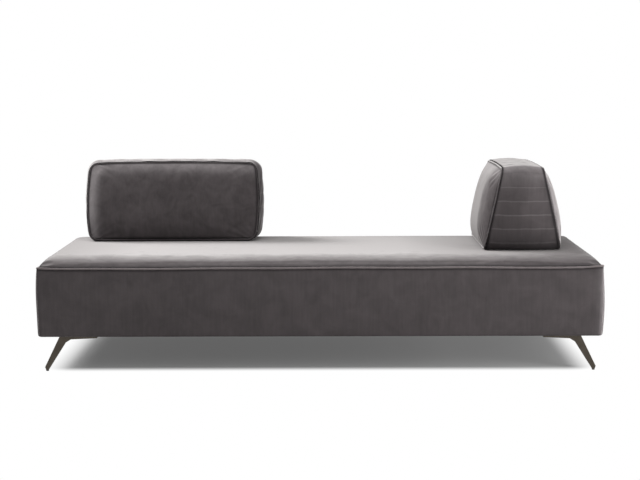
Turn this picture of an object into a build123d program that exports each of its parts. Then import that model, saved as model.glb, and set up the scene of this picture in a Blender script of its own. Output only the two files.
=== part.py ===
from build123d import *
import os
from math import atan2, cos, degrees, hypot, radians, sin

# A low upholstered daybed: a padded base on four splayed metal legs, and two
# loose wedge backrests that stand on its seat.
# +X runs along the bed to the right, -Y is the front, +Z is up.
# The origin is on the floor, under the middle of the base.

# Base, in millimetres
bed_length = 2250
bed_depth = 1200
leg_height = 140
panel_height = 273
corner_radius = 26
panel_puff = 5
velvet = 2
padding = 10
hem_width = 20
seat_crown = 32
seat_roll = 100
seat_front_roll = 300
seat_welt = 8
topper_edge = 26
touch_gap = 0.1

# Timber frame and webbing
board = 20
rail_height = 150
cross_rail_height = 100
cross_rail_pitch = 560
post_width = 45
strap_width = 60
strap_thickness = 2
cross_straps = 14
long_straps = 6
strap_margin = 4
leg_block_length = 220
leg_block_width = 70
leg_block_height = 30

# Wood screws of the frame
screw_diameter = 4.5
screw_head = 9
screw_head_height = 2.2
screw_sink = 2
screw_length = 50
screw_low = 28
screw_rise = 48
screw_clearance = 0.1

# Legs, measured from the outer top corner of each
leg_inset = 90
leg_edge = 25
leg_depth = 44
foot_depth = 18
foot_splay = 61
foot_heel = 12
foot_toe = 4
foot_width = 10
knee_out = 22
knee_drop = 26
arm_start = 44.5
arm_thick = 12
arm_thin = 7
arm_length = 150
leg_edge_radius = 1.2
glide_height = 4
glide_inset = 1

# Bolts that hold the legs
bolt_diameter = 6
bolt_length = 40
bolt_head = 11
bolt_head_height = 3.3
bolt_socket = 4
bolt_socket_depth = 2
bolt_clearance = 0.2
bolt_first = 60
bolt_pitch = 38
bolts_per_leg = 3
bolt_seat = 5
nut_flange = 19
nut_flange_height = 1.5
nut_barrel = 8
nut_barrel_length = 9

# Backrests
rest_length = 756
rest_height = 343
rest_base = 309
rest_top = 162
rest_crown = 45
end_bow = 14
head_bow = 5
head_radius = 34
foot_radius = 38
side_roll = 260
foot_roll = 150
head_roll = 160
rest_welt = 7
band_thickness = 10
band_channels = 25
end_swell = 13
head_swell = 4
swell_power = 1.5
channel_rise = 3
channel_edge_rise = 1
base_cloth = 2
rest_board_end = 58
rest_board_side = 34.5
rest_board_height = 12
ballast_end = 20
ballast_side = 30
ballast_height = 8
rest_clearance = 0.3

# Places of the backrests, from the base's edges to their panels
left_end_margin = 97
left_back_margin = 32
right_end_margin = 133
right_back_margin = 70

# Worked out from the sizes above
half_length = bed_length / 2
half_depth = bed_depth / 2
wrap = panel_puff + velvet + padding
seam_height = leg_height + panel_height
frame_bottom = leg_height + velvet
panel_top = seam_height - seat_welt / 2 - touch_gap
rail_top = frame_bottom + rail_height
strap_top = rail_top + 2 * strap_thickness
frame_length = bed_length - 2 * wrap
frame_depth = bed_depth - 2 * wrap
inner_length = frame_length - 2 * board
inner_depth = frame_depth - 2 * board
frame_corner = corner_radius - wrap
hem_inset = wrap + hem_width
topper_bottom = seam_height - velvet - topper_edge
welt_inset = panel_puff + velvet / 2
seat_edge = welt_inset + seat_welt / 2 + touch_gap
seat_height = seam_height + seat_crown
block_top = frame_bottom + leg_block_height
leg_corner_x = half_length - leg_inset
leg_middle_y = half_depth - leg_edge - leg_depth / 2
bolt_hole = bolt_diameter + 2 * bolt_clearance
panel_run = (rest_base - rest_top) / 2
lean = atan2(panel_run, rest_height)
slope_height = hypot(panel_run, rest_height)
rest_bottom = seat_height + rest_clearance
foot_half = rest_length / 2 - end_bow
pad_edge = rest_welt + 2 * touch_gap + velvet
rest_board_length = rest_length - 2 * rest_board_end
rest_board_width = rest_base - 2 * rest_board_side
ballast_length = rest_board_length - 2 * ballast_end
ballast_width = rest_board_width - 2 * ballast_side

panel_bands = 4
crown_steps = 4
band_sections = 5
hands = (-1, 1)
side_names = ("front", "right", "back", "left")

os.makedirs("parts", exist_ok=True)


def keep(piece, name):
    """Label a finished piece and write it under its name."""
    piece.part.label = name
    export_step(piece.part, f"parts/{name}.step")


def corner_name(hand_x, hand_y):
    """Name one of the four corners, as in front_left."""
    return f"{'front' if hand_y < 0 else 'back'}_{'left' if hand_x < 0 else 'right'}"


# Timber frame


def screw_plane(hand, depth):
    """A plane at a depth behind the front or back rail's outer face, looking into the frame."""
    origin = (0, hand * (frame_depth / 2 - depth), frame_bottom)
    return Plane(origin, x_dir=(hand, 0, 0), z_dir=(0, -hand, 0))


def screw_places(columns):
    """Two screws above each other at each place along the frame."""
    return [(x, screw_low + rise) for x in columns for rise in (0, screw_rise)]


end_column = inner_length / 2 + board / 2
cross_columns = [-cross_rail_pitch, 0, cross_rail_pitch]
rail_columns = [-end_column, *cross_columns, end_column]
screw_hole = screw_diameter + 2 * screw_clearance
screw_reach = screw_sink + screw_length + screw_clearance


def screw_circles(hand, columns, radius, depth=0):
    """Circles of one radius where the screws stand, at a depth from the front or the back."""
    with BuildSketch(screw_plane(hand, depth)) as circles:
        with Locations(*screw_places([hand * x for x in columns])):
            Circle(radius)
    return circles.sketch


for hand in hands:
    with BuildPart() as long_rail:
        with BuildSketch(Plane.XY.offset(frame_bottom)):
            with Locations((0, hand * (frame_depth - board) / 2)):
                Rectangle(frame_length, board)
        extrude(amount=rail_height)
        outer_edges = long_rail.edges().filter_by(Axis.Z).sort_by(Axis.Y)[:: hand * -1][:2]
        fillet(outer_edges, frame_corner)
        extrude(screw_circles(hand, rail_columns, screw_hole / 2), amount=board, mode=Mode.SUBTRACT)
        sinks = screw_circles(hand, rail_columns, screw_head / 2 + screw_clearance)
        extrude(sinks, amount=screw_sink + screw_head_height, mode=Mode.SUBTRACT)
    keep(long_rail, "front_rail" if hand < 0 else "back_rail")

for hand in hands:
    with BuildPart() as end_rail:
        with BuildSketch(Plane.XY.offset(frame_bottom)):
            with Locations((hand * end_column, 0)):
                Rectangle(board, inner_depth)
        extrude(amount=rail_height + strap_thickness)
        for face in hands:
            holes = screw_circles(face, [hand * end_column], screw_hole / 2)
            extrude(holes, amount=screw_reach, mode=Mode.SUBTRACT)
    keep(end_rail, "left_end_rail" if hand < 0 else "right_end_rail")

for column, place in zip(cross_columns, ("left", "centre", "right")):
    with BuildPart() as cross_rail:
        with BuildSketch(Plane.XY.offset(frame_bottom)):
            with Locations((column, 0)):
                Rectangle(board, inner_depth)
        extrude(amount=cross_rail_height)
        for face in hands:
            extrude(screw_circles(face, [column], screw_hole / 2), amount=screw_reach, mode=Mode.SUBTRACT)
    keep(cross_rail, f"cross_rail_{place}")

with BuildPart() as frame_screws:
    for hand in hands:
        extrude(screw_circles(hand, rail_columns, screw_diameter / 2, screw_sink), amount=screw_length)
        extrude(screw_circles(hand, rail_columns, screw_head / 2, screw_sink), amount=screw_head_height)
keep(frame_screws, "frame_screws")


# Leg blocks, corner posts and the leg fastenings


def leg_bolt_places(hand_x, hand_y):
    """Where one leg's bolts stand, in plan."""
    reaches = [bolt_first + bolt_pitch * count for count in range(bolts_per_leg)]
    return [(hand_x * (leg_corner_x - reach), hand_y * leg_middle_y) for reach in reaches]


corners = [(hand_x, hand_y) for hand_y in hands for hand_x in hands]
bolt_places = [place for corner in corners for place in leg_bolt_places(*corner)]
bolt_level = leg_height - bolt_seat

for hand_x, hand_y in corners:
    block_x = hand_x * (inner_length - leg_block_length) / 2
    block_y = hand_y * (inner_depth - leg_block_width) / 2
    with BuildPart() as leg_block:
        with BuildSketch(Plane.XY.offset(frame_bottom)):
            with Locations((block_x, block_y)):
                Rectangle(leg_block_length, leg_block_width)
            with Locations(*leg_bolt_places(hand_x, hand_y)):
                Circle(bolt_hole / 2, mode=Mode.SUBTRACT)
        extrude(amount=leg_block_height)
        with BuildSketch(Plane.XY.offset(block_top)):
            with Locations(*leg_bolt_places(hand_x, hand_y)):
                Circle(nut_barrel / 2 + bolt_clearance)
        extrude(amount=-nut_barrel_length, mode=Mode.SUBTRACT)
    keep(leg_block, f"leg_block_{corner_name(hand_x, hand_y)}")

    post_x = hand_x * (inner_length - post_width) / 2
    post_y = hand_y * (inner_depth - post_width) / 2
    with BuildPart() as corner_post:
        with BuildSketch(Plane.XY.offset(block_top)):
            with Locations((post_x, post_y)):
                Rectangle(post_width, post_width)
        extrude(amount=rail_top - block_top)
    keep(corner_post, f"corner_post_{corner_name(hand_x, hand_y)}")

with BuildPart() as leg_bolts:
    with BuildSketch(Plane.XY.offset(bolt_level)):
        with Locations(*bolt_places):
            Circle(bolt_diameter / 2)
    extrude(amount=bolt_length)
    with BuildSketch(Plane.XY.offset(bolt_level)):
        with Locations(*bolt_places):
            Circle(bolt_head / 2)
    extrude(amount=-bolt_head_height)
    with BuildSketch(Plane.XY.offset(bolt_level - bolt_head_height)):
        with Locations(*bolt_places):
            RegularPolygon(bolt_socket / 2, 6, major_radius=False)
    extrude(amount=bolt_socket_depth, mode=Mode.SUBTRACT)
keep(leg_bolts, "leg_bolts")

with BuildPart() as tee_nuts:
    with BuildSketch(Plane.XY.offset(block_top)):
        with Locations(*bolt_places):
            Circle(nut_flange / 2)
            Circle(bolt_diameter / 2 + touch_gap, mode=Mode.SUBTRACT)
    extrude(amount=nut_flange_height)
    with BuildSketch(Plane.XY.offset(block_top)):
        with Locations(*bolt_places):
            Circle(nut_barrel / 2)
            Circle(bolt_diameter / 2 + touch_gap, mode=Mode.SUBTRACT)
    extrude(amount=-nut_barrel_length)
keep(tee_nuts, "tee_nuts")


# Legs: a flat blade that splays out to the foot, and a thin arm that runs inwards under the base

for hand_x, hand_y in corners:
    blade_plane = Plane(
        (hand_x * leg_corner_x, hand_y * leg_middle_y, leg_height), x_dir=(1, 0, 0), z_dir=(0, -1, 0)
    )
    taper_plane = Plane(
        (hand_x * leg_corner_x, hand_y * leg_middle_y, leg_height), x_dir=(0, 1, 0), z_dir=(1, 0, 0)
    )
    leg_foot = glide_height - leg_height
    with BuildPart() as leg:
        with BuildSketch(blade_plane):
            with BuildLine():
                Polyline(
                    (hand_x * -arm_length, -arm_thin),
                    (hand_x * -arm_length, 0),
                    (0, 0),
                    (hand_x * foot_splay, leg_foot + foot_heel),
                    (hand_x * (foot_splay - foot_toe), leg_foot),
                    (hand_x * (foot_splay - foot_toe - foot_width), leg_foot),
                    (hand_x * -knee_out, -knee_drop),
                    (hand_x * -arm_start, -arm_thick),
                    (hand_x * -arm_length, -arm_thin),
                )
            make_face()
        extrude(amount=leg_depth / 2, both=True)
        with BuildSketch(taper_plane):
            with BuildLine():
                Polyline(
                    (-leg_depth / 2, 0),
                    (leg_depth / 2, 0),
                    (foot_depth / 2, leg_foot),
                    (-foot_depth / 2, leg_foot),
                    close=True,
                )
            make_face()
        extrude(amount=arm_length, both=True, mode=Mode.INTERSECT)
        low_edges = leg.edges().filter_by(lambda edge: edge.center().Z < leg_height - touch_gap)
        fillet(low_edges.filter_by(lambda edge: edge.center().Z > glide_height + touch_gap), leg_edge_radius)
        with BuildSketch(Plane.XY.offset(leg_height)):
            with Locations(*leg_bolt_places(hand_x, hand_y)):
                Circle(bolt_hole / 2)
        extrude(amount=-bolt_seat, mode=Mode.SUBTRACT)
        with BuildSketch(Plane.XY.offset(bolt_level)):
            with Locations(*leg_bolt_places(hand_x, hand_y)):
                Circle(bolt_head / 2 + bolt_clearance)
        extrude(amount=-leg_height / 2, mode=Mode.SUBTRACT)
    keep(leg, f"leg_{corner_name(hand_x, hand_y)}")

with BuildPart() as foot_glides:
    with BuildSketch():
        for hand_x, hand_y in corners:
            glide_x = leg_corner_x + foot_splay - foot_toe - foot_width / 2
            with Locations((hand_x * glide_x, hand_y * leg_middle_y)):
                Rectangle(foot_width - glide_inset, foot_depth - 2 * glide_inset)
    extrude(amount=glide_height)
keep(foot_glides, "foot_glides")


# Webbing and foam

cross_pitch = inner_length / cross_straps
long_pitch = inner_depth / long_straps

with BuildPart() as cross_webbing:
    with BuildSketch(Plane.XY.offset(rail_top)):
        with GridLocations(cross_pitch, 0, cross_straps, 1):
            Rectangle(strap_width, frame_depth - 2 * strap_margin)
    extrude(amount=strap_thickness)
keep(cross_webbing, "cross_webbing")

with BuildPart() as long_webbing:
    with BuildSketch(Plane.XY.offset(rail_top + strap_thickness)):
        with GridLocations(0, long_pitch, 1, long_straps):
            Rectangle(frame_length - 2 * strap_margin, strap_width)
    extrude(amount=strap_thickness)
keep(long_webbing, "long_webbing")

with BuildPart() as seat_core_foam:
    with BuildSketch(Plane.XY.offset(strap_top)):
        RectangleRounded(frame_length, frame_depth, frame_corner)
    extrude(amount=topper_bottom - strap_top)
keep(seat_core_foam, "seat_core_foam")


def seat_outline(height, inset, front_inset):
    """The seat's outline at a height, drawn in from the base's plan, and by its own inset in front."""
    with BuildSketch(Plane.XY.offset(height)) as outline:
        length = bed_length - 2 * inset
        depth = bed_depth - inset - front_inset
        with Locations((0, (front_inset - inset) / 2)):
            RectangleRounded(length, depth, corner_radius - seat_edge)
    return outline.sketch


def seat_outlines(edge_height):
    """The crowned seat from its edge up to its flat middle: its rise is a quarter of an ellipse."""
    turns = [radians(90 * step / crown_steps) for step in range(crown_steps + 1)]
    rises = [seat_crown * sin(turn) for turn in turns]
    insets = [seat_edge + seat_roll * (1 - cos(turn)) for turn in turns]
    front_insets = [seat_edge + seat_front_roll * (1 - cos(turn)) for turn in turns]
    heights = [edge_height + rise for rise in rises]
    return [seat_outline(*row) for row in zip(heights, insets, front_insets)]


foam_edge_height = seam_height - velvet

with BuildPart() as seat_topper_foam:
    with BuildSketch(Plane.XY.offset(topper_bottom)):
        RectangleRounded(frame_length, frame_depth, frame_corner)
    extrude(amount=topper_edge)
    loft(sections=seat_outlines(foam_edge_height), ruled=True)
keep(seat_topper_foam, "seat_topper_foam")

with BuildPart() as seat_top_cover:
    seat_hem = seat_outline(foam_edge_height, seat_edge, seat_edge)
    loft(sections=[seat_hem, *seat_outlines(seam_height)], ruled=True)
    loft(sections=seat_outlines(foam_edge_height), ruled=True, mode=Mode.SUBTRACT)
keep(seat_top_cover, "seat_top_cover")

with BuildSketch(Plane.XY.offset(seam_height)) as seat_seam:
    RectangleRounded(bed_length - 2 * welt_inset, bed_depth - 2 * welt_inset, corner_radius - welt_inset)
seam_wire = seat_seam.sketch.face().outer_wire()
with BuildPart() as seat_welt_ring:
    with BuildSketch(Plane(seam_wire @ 0, z_dir=seam_wire % 0)):
        Circle(seat_welt / 2)
    sweep(path=seam_wire)
keep(seat_welt_ring, "seat_welt")


# Padding and velvet round the sides, in four panels that meet in the middle of each corner


def half_corner_run(run, reach, inset):
    """Draw one side's line at an inset, with half of each corner's arc, and return its two ends."""
    radius = corner_radius - inset
    if radius <= 0:
        line = Line((inset - run, inset - reach), (run - inset, inset - reach))
        return line @ 0, line @ 1
    centre_x = run - corner_radius
    centre_y = corner_radius - reach
    left = CenterArc((-centre_x, centre_y), radius, -135, 45)
    right = CenterArc((centre_x, centre_y), radius, -90, 45)
    Line(left @ 1, right @ 0)
    return left @ 0, right @ 1


def side_layer(side, height, outer, inner):
    """One side's strip at a height, between two insets from the base's plan."""
    run, reach = (half_length, half_depth) if side % 2 == 0 else (half_depth, half_length)
    turn = radians(90 * side)
    with BuildSketch(Plane((0, 0, height), x_dir=(cos(turn), sin(turn), 0))) as layer:
        with BuildLine():
            outer_ends = half_corner_run(run, reach, outer)
            inner_ends = half_corner_run(run, reach, inner)
            Line(outer_ends[0], inner_ends[0])
            Line(outer_ends[1], inner_ends[1])
        make_face()
    return layer.sketch


def panel_layers(side, depth, inner=None):
    """A side panel's strips from hem to seam: it swells by a parabola between its two edges."""
    layers = []
    for band in range(panel_bands + 1):
        share = band / panel_bands
        height = frame_bottom + share * (panel_top - frame_bottom)
        outer = panel_puff * (2 * share - 1) ** 2 + depth
        layers.append(side_layer(side, height, outer, outer + velvet if inner is None else inner))
    return layers


for side, name in enumerate(side_names):
    with BuildPart() as side_padding:
        loft(sections=panel_layers(side, velvet, wrap), ruled=True)
    keep(side_padding, f"{name}_padding")

    with BuildPart() as side_cover:
        loft(sections=panel_layers(side, 0), ruled=True)
        extrude(side_layer(side, leg_height, panel_puff, hem_inset), amount=velvet)
    keep(side_cover, f"{name}_cover")

with BuildPart() as dust_cover:
    with BuildSketch(Plane.XY.offset(leg_height)):
        Rectangle(bed_length - 2 * hem_inset, bed_depth - 2 * hem_inset)
        with Locations(*bolt_places):
            Circle(bolt_hole / 2, mode=Mode.SUBTRACT)
    extrude(amount=velvet)
keep(dust_cover, "dust_cover")


# Backrests: a wedge of foam between two crowned panels, with a quilted band over the ends and the top


def stand(place, origin, x_dir, z_dir):
    """A plane of a backrest, carried to where that backrest stands."""
    return Plane(place.location * Plane(origin, x_dir, z_dir).location)


def panel_outline(plane, ends, foot, head, slope=slope_height):
    """A backrest panel on a plane, drawn in from its ends, foot and head, with bowed ends and top."""
    half = foot_half - ends
    top = slope - head
    with BuildSketch(plane) as panel:
        with BuildLine():
            Line((-half, foot), (half, foot))
            ThreePointArc((half, foot), (half + end_bow, (foot + top) / 2), (half, top))
            ThreePointArc((half, top), (0, top + head_bow), (-half, top))
            ThreePointArc((-half, top), (-half - end_bow, (foot + top) / 2), (-half, foot))
        make_face()
        fillet(panel.vertices().sort_by(Axis.Y)[:2], foot_radius)
        fillet(panel.vertices().sort_by(Axis.Y)[-2:], head_radius)
    return panel.sketch


def fanned_plane(place, share):
    """A backrest's section at a share of its thickness, fanned between its two sloping panels."""
    turn = atan2((1 - 2 * share) * panel_run, rest_height)
    return stand(place, (0, (share - 0.5) * rest_base, base_cloth), (1, 0, 0), (0, -cos(turn), sin(turn)))


def quilted_outline(place, share):
    """The band's outline at a share of the thickness: it swells by a power of a parabola from panel
    to panel, and its channels, of equal width, bulge between their seams."""
    swell = (1 - (2 * share - 1) ** 2) ** swell_power
    slope = hypot((1 - 2 * share) * panel_run, rest_height)
    flat_panel = panel_outline(Plane.XY, -end_swell * swell, 0, -head_swell * swell, slope)
    ribbon = Wire(flat_panel.edges().sort_by(Axis.Y)[1:])
    seams = [ribbon @ (count / band_channels) for count in range(band_channels + 1)]
    rise = channel_edge_rise + (channel_rise - channel_edge_rise) * swell
    with BuildSketch(fanned_plane(place, share)) as band:
        with BuildLine():
            for start, end in zip(seams, seams[1:]):
                along = (end - start).normalized()
                away = Vector(along.Y, -along.X) * rise
                middle = (start + end) / 2
                outward = away if away.dot(middle - Vector(0, slope / 2)) > 0 else away * -1
                ThreePointArc(start, middle + outward, end)
            Line(seams[-1], seams[0])
        make_face()
    return band.sketch


def crowned_outlines(plane, edge, crown):
    """A soft panel from its border up to its flat middle: its rise is a quarter of an ellipse."""
    outlines = []
    for step in range(crown_steps + 1):
        turn = radians(90 * step / crown_steps)
        draw_in = 1 - cos(turn)
        level = plane.offset(crown * sin(turn))
        ends = edge + side_roll * draw_in
        outlines.append(panel_outline(level, ends, edge + foot_roll * draw_in, edge + head_roll * draw_in))
    return outlines


left_place = Plane(
    (
        left_end_margin + rest_length / 2 - half_length,
        half_depth - left_back_margin - rest_base / 2,
        rest_bottom,
    )
)
right_place = Plane(
    (
        half_length - right_end_margin - rest_base / 2,
        half_depth - right_back_margin - rest_length / 2,
        rest_bottom,
    ),
    x_dir=(0, 1, 0),
)

for side, place in (("left", left_place), ("right", right_place)):
    name = f"{side}_backrest"
    back_foot = (0, rest_base / 2, base_cloth)
    panel_planes = {
        "front": fanned_plane(place, 0),
        "back": stand(place, back_foot, (-1, 0, 0), (0, cos(lean), sin(lean))),
    }
    core_planes = (fanned_plane(place, 0), fanned_plane(place, 1))
    core_outlines = [panel_outline(plane, band_thickness, 0, band_thickness) for plane in core_planes]
    band_shares = [step / (band_sections - 1) for step in range(band_sections)]

    with BuildPart() as rest_core:
        loft(sections=core_outlines, ruled=True)
        with BuildSketch(place.offset(base_cloth)):
            Rectangle(rest_board_length, rest_board_width)
        extrude(amount=rest_board_height, mode=Mode.SUBTRACT)
        with BuildSketch(place.offset(base_cloth + rest_board_height)):
            Rectangle(ballast_length, ballast_width)
        extrude(amount=ballast_height, mode=Mode.SUBTRACT)
    keep(rest_core, f"{name}_core")

    with BuildPart() as rest_board:
        with BuildSketch(place.offset(base_cloth)):
            Rectangle(rest_board_length, rest_board_width)
        extrude(amount=rest_board_height)
    keep(rest_board, f"{name}_board")

    with BuildPart() as ballast_plate:
        with BuildSketch(place.offset(base_cloth + rest_board_height)):
            Rectangle(ballast_length, ballast_width)
        extrude(amount=ballast_height)
    keep(ballast_plate, f"{name}_ballast")

    with BuildPart() as cloth:
        with BuildSketch(place):
            Rectangle(2 * (foot_half - foot_radius), rest_base)
        extrude(amount=base_cloth)
    keep(cloth, f"{name}_base_cloth")

    with BuildPart() as band:
        loft(sections=[quilted_outline(place, share) for share in band_shares], ruled=True)
        loft(sections=core_outlines, ruled=True, mode=Mode.SUBTRACT)
    keep(band, f"{name}_band")

    for face_name, plane in panel_planes.items():
        with BuildPart() as pad:
            loft(sections=crowned_outlines(plane, pad_edge, rest_crown), ruled=True)
        keep(pad, f"{name}_{face_name}_pad")

        with BuildPart() as cover:
            loft(sections=crowned_outlines(plane, pad_edge - velvet, rest_crown + velvet), ruled=True)
            loft(sections=crowned_outlines(plane, pad_edge, rest_crown), ruled=True, mode=Mode.SUBTRACT)
        keep(cover, f"{name}_{face_name}_cover")

        welt_in = rest_welt / 2 + touch_gap
        welt_wire = panel_outline(plane.offset(welt_in), welt_in, welt_in, welt_in).face().outer_wire()
        with BuildPart() as welt:
            with BuildSketch(Plane(welt_wire @ 0, z_dir=welt_wire % 0)):
                Circle(rest_welt / 2)
            sweep(path=welt_wire)
        keep(welt, f"{name}_{face_name}_welt")

print("slope of the backrest panels", round(degrees(lean), 2), "degrees")
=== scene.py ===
# %% [markdown]
# # A velvet daybed
# The CAD model of the daybed is a frame of exact solids: rails, legs, foam and covers.
# This lesson dresses it: every soft solid is replaced by a cloth surface, and every
# hard one keeps its shape and gets a finish.

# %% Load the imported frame
import bpy
import numpy as np
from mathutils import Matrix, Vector


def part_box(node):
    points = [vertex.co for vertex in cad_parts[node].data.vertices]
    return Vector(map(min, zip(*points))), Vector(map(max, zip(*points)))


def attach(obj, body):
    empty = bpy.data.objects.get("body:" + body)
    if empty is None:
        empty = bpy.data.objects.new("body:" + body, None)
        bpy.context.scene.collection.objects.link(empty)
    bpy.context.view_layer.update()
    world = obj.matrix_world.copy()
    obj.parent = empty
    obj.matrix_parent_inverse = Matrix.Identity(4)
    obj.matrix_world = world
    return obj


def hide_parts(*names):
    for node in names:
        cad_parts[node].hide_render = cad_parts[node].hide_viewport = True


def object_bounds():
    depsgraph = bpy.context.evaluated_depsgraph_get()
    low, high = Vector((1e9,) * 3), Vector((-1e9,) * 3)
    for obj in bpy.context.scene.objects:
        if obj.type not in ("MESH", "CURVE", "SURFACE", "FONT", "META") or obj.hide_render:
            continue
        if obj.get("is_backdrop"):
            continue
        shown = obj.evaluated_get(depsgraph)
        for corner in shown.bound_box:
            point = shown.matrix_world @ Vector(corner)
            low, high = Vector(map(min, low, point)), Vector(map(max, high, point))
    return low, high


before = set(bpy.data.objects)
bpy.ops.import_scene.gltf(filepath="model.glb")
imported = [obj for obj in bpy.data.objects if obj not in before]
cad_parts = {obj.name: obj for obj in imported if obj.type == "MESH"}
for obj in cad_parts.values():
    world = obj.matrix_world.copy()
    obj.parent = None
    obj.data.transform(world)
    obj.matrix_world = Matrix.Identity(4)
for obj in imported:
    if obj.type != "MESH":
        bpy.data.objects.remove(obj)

cad_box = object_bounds()
scene = bpy.context.scene
print("CAD box", [[round(float(value), 3) for value in corner] for corner in cad_box])

# %% [markdown]
# The measures come from the CAD nodes themselves, so the cloth sits where the solids are.
# Only what a box can't tell, such as the bow of a backrest's sides, is written as a number.
# All of them are in metres.

# %% Measures of the base


def box(*nodes):
    """Lowest and highest corners of some CAD nodes together."""
    corners = np.array([[list(corner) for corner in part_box(node)] for node in nodes])
    return corners[:, 0].min(0), corners[:, 1].max(0)


side_names = ("front", "right", "back", "left")
sides_low, sides_high = box(*(f"{side}_cover" for side in side_names))
half_length, half_depth = sides_high[:2]
base_bottom = sides_low[2]
welt_low, welt_high = box("seat_welt")
seam_height = (welt_low[2] + welt_high[2]) / 2
seat_piping = (welt_high[2] - welt_low[2]) / 2
seat_height = box("seat_top_cover")[1][2]
foam_bottom = box("seat_core_foam")[0][2]
velvet_thickness = 0.002
panel_puff = 0.005
corner_radius = 0.026
seam_corner = 0.012
print("base", 2 * half_length, 2 * half_depth, "seam at", seam_height, "seat at", seat_height)

# %% [markdown]
# A backrest is a wedge: a broad foot, a narrower top, two sloping panels and a band between
# them. The cloth under it gives the depth of its foot, and the slope of the panels follows from
# the two depths and the height. The dressed backrests are a little lower than their solids,
# which is nearer the photograph.

# %% Measures of the backrests
cloth_low, cloth_high = box("left_backrest_base_cloth")
rest_base = cloth_high[1] - cloth_low[1]
base_cloth = cloth_high[2] - cloth_low[2]
rest_height = 0.337
rest_top = 0.162
rest_half = 0.364
rest_crown = 0.047
end_bow = 0.014
head_bow = 0.005
head_radius = 0.034
foot_radius = 0.038
side_roll = 0.26
foot_roll = 0.15
head_roll = 0.16
rest_piping = 0.0035
band_channels = 25
end_swell = 0.013
head_swell = 0.0055
swell_power = 1.5
channel_rise = 0.003
channel_edge_rise = 0.001
panel_run = (rest_base - rest_top) / 2
lean = np.arctan2(panel_run, rest_height)
slope = np.hypot(panel_run, rest_height)
print("backrest panels lean by", round(float(np.degrees(lean)), 2), "degrees")

# %% [markdown]
# ## Finishes
# A colour is picked on a screen as an sRGB hex value, but light adds up in linear values,
# so one function turns the one into the other. A second small function adds a shader node,
# sets it and links it. With these two, each finish is a short list of nodes.

# %% Colour and node helpers


def linear(hex_colour):
    """A hex colour as opaque linear light: each channel is unbent by the sRGB curve."""
    channels = np.array([int(hex_colour[i : i + 2], 16) for i in (1, 3, 5)]) / 255
    bent = ((channels + 0.055) / 1.055) ** 2.4
    return (*np.where(channels <= 0.04045, channels / 12.92, bent).tolist(), 1.0)


def add_node(tree, kind, inputs=(), **settings):
    """Add a node, set its own settings, and fill each input with a value or a link."""
    node = tree.nodes.new(f"ShaderNode{kind}")
    for name, value in settings.items():
        setattr(node, name, value)
    for socket, value in dict(inputs).items():
        if isinstance(value, bpy.types.NodeSocket):
            tree.links.new(value, node.inputs[socket])
        else:
            node.inputs[socket].default_value = value
    return node


def new_finish(name, **values):
    """A material with one principled shader; the values go straight on to its sockets."""
    finish = bpy.data.materials.new(name)
    finish.use_nodes = True
    shader = finish.node_tree.nodes["Principled BSDF"]
    for socket, value in values.items():
        shader.inputs[socket.replace("_", " ")].default_value = value
    return finish, finish.node_tree, shader


def per_mm(size):
    """Noise scale at which one blotch is about this many millimetres wide."""
    return 1000 / size


# %% [markdown]
# The velvet is a short cut pile of dull grey. Seen straight on, the light sinks between the
# fibres and it looks dark; seen along the surface, the fibre tips catch the light and it
# turns pale. The shader's own sheen gives a faint veil of that, but the pile turns much paler,
# so a Layer Weight node also mixes a pale colour into the base colour where the view is
# grazing: a painted sheen. The pile also leans this way and that where a hand has brushed it,
# which shows as soft patches, and it has fine streaks along its lie. Each piece carries marks
# that the velvet reads at its points: a painted highlight on edges, tops and seams, painted
# shade in seams, creases and at feet, and a mark that dims the painted sheen.

# %% Velvet
# colours of the painted sheen and of the painted highlights
painted_sheen_colour, highlight_colour = "#cecac9", "#a09a9b"
sheen_focus = 13.0
sheen_density = 4.1
sheen_spread = 3


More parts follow.
